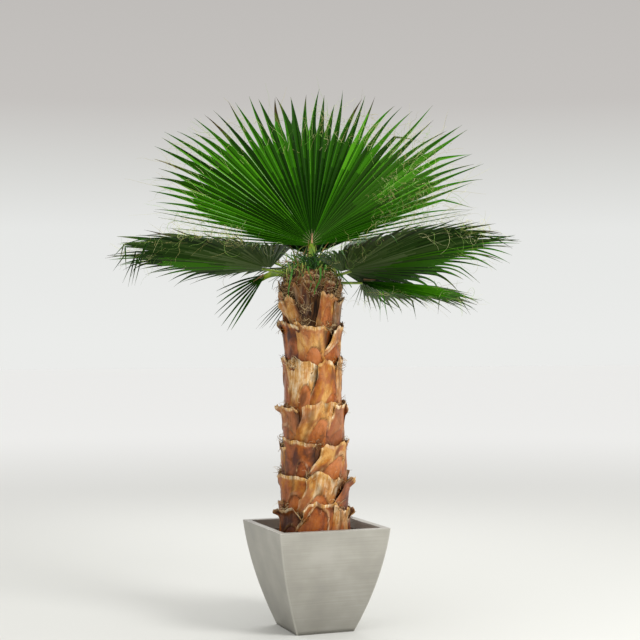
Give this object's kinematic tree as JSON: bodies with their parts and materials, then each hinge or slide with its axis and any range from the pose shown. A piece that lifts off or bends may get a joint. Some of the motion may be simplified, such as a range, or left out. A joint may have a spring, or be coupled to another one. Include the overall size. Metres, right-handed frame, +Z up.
{
  "type": "potted mexican fan palm",
  "caption": "Fan palm with a trunk clothed in old leaf bases and a crown of pleated fan leaves, growing in a square planter that tapers to its foot.",
  "frame": {"origin": "centre of the planter's flat underside, on the floor", "axes": "+Z up; the planter's faces look along X and Y, and its front is -Y"},
  "size_m": [1.9219, 1.885, 2.6517],
  "materials": {
    "planter": "satin, brushed grey",
    "soil": "rough potting soil",
    "trunk": "rough, matted brown fibre",
    "leaf_base": "dry satin, orange-brown to pale tan",
    "frond": "satin green leaf"
  },
  "bodies": {
    "root": {"planter": "planter", "potting_soil": "soil", "trunk": "trunk", "leaf_base_1a": "leaf_base", "leaf_base_1b": "leaf_base", "leaf_base_1c": "leaf_base", "leaf_base_1d": "leaf_base", "leaf_base_1e": "leaf_base", "leaf_base_1f": "leaf_base", "leaf_base_1g": "leaf_base", "leaf_base_2a": "leaf_base", "leaf_base_2b": "leaf_base", "leaf_base_2c": "leaf_base", "leaf_base_2d": "leaf_base", "leaf_base_2e": "leaf_base", "leaf_base_2f": "leaf_base", "leaf_base_3a": "leaf_base", "leaf_base_3b": "leaf_base", "leaf_base_3c": "leaf_base", "leaf_base_3d": "leaf_base", "leaf_base_3e": "leaf_base", "leaf_base_3f": "leaf_base", "leaf_base_4a": "leaf_base", "leaf_base_4b": "leaf_base", "leaf_base_4c": "leaf_base", "leaf_base_4d": "leaf_base", "leaf_base_4e": "leaf_base", "leaf_base_4f": "leaf_base", "leaf_base_5a": "leaf_base", "leaf_base_5b": "leaf_base", "leaf_base_5c": "leaf_base", "leaf_base_5d": "leaf_base", "leaf_base_5e": "leaf_base", "leaf_base_5f": "leaf_base", "leaf_base_6a": "leaf_base", "leaf_base_6b": "leaf_base", "leaf_base_6c": "leaf_base", "leaf_base_6d": "leaf_base", "leaf_base_6e": "leaf_base", "leaf_base_6f": "leaf_base", "leaf_base_7a": "leaf_base", "leaf_base_7b": "leaf_base", "leaf_base_7c": "leaf_base", "leaf_base_7d": "leaf_base", "leaf_base_7e": "leaf_base", "leaf_base_7f": "leaf_base", "leaf_base_8a": "leaf_base", "leaf_base_8b": "leaf_base", "leaf_base_8c": "leaf_base", "leaf_base_8d": "leaf_base", "frond_01_rear_upright": "frond", "frond_02_left": "frond", "frond_03_right": "frond", "frond_04_right_low": "frond", "frond_05_left_low": "frond", "frond_06_rear_low": "frond", "frond_07_rear_right": "frond", "frond_08_rear": "frond", "frond_09_rear_middle": "frond", "frond_10_rear_left": "frond"}
  },
  "joints": []
}
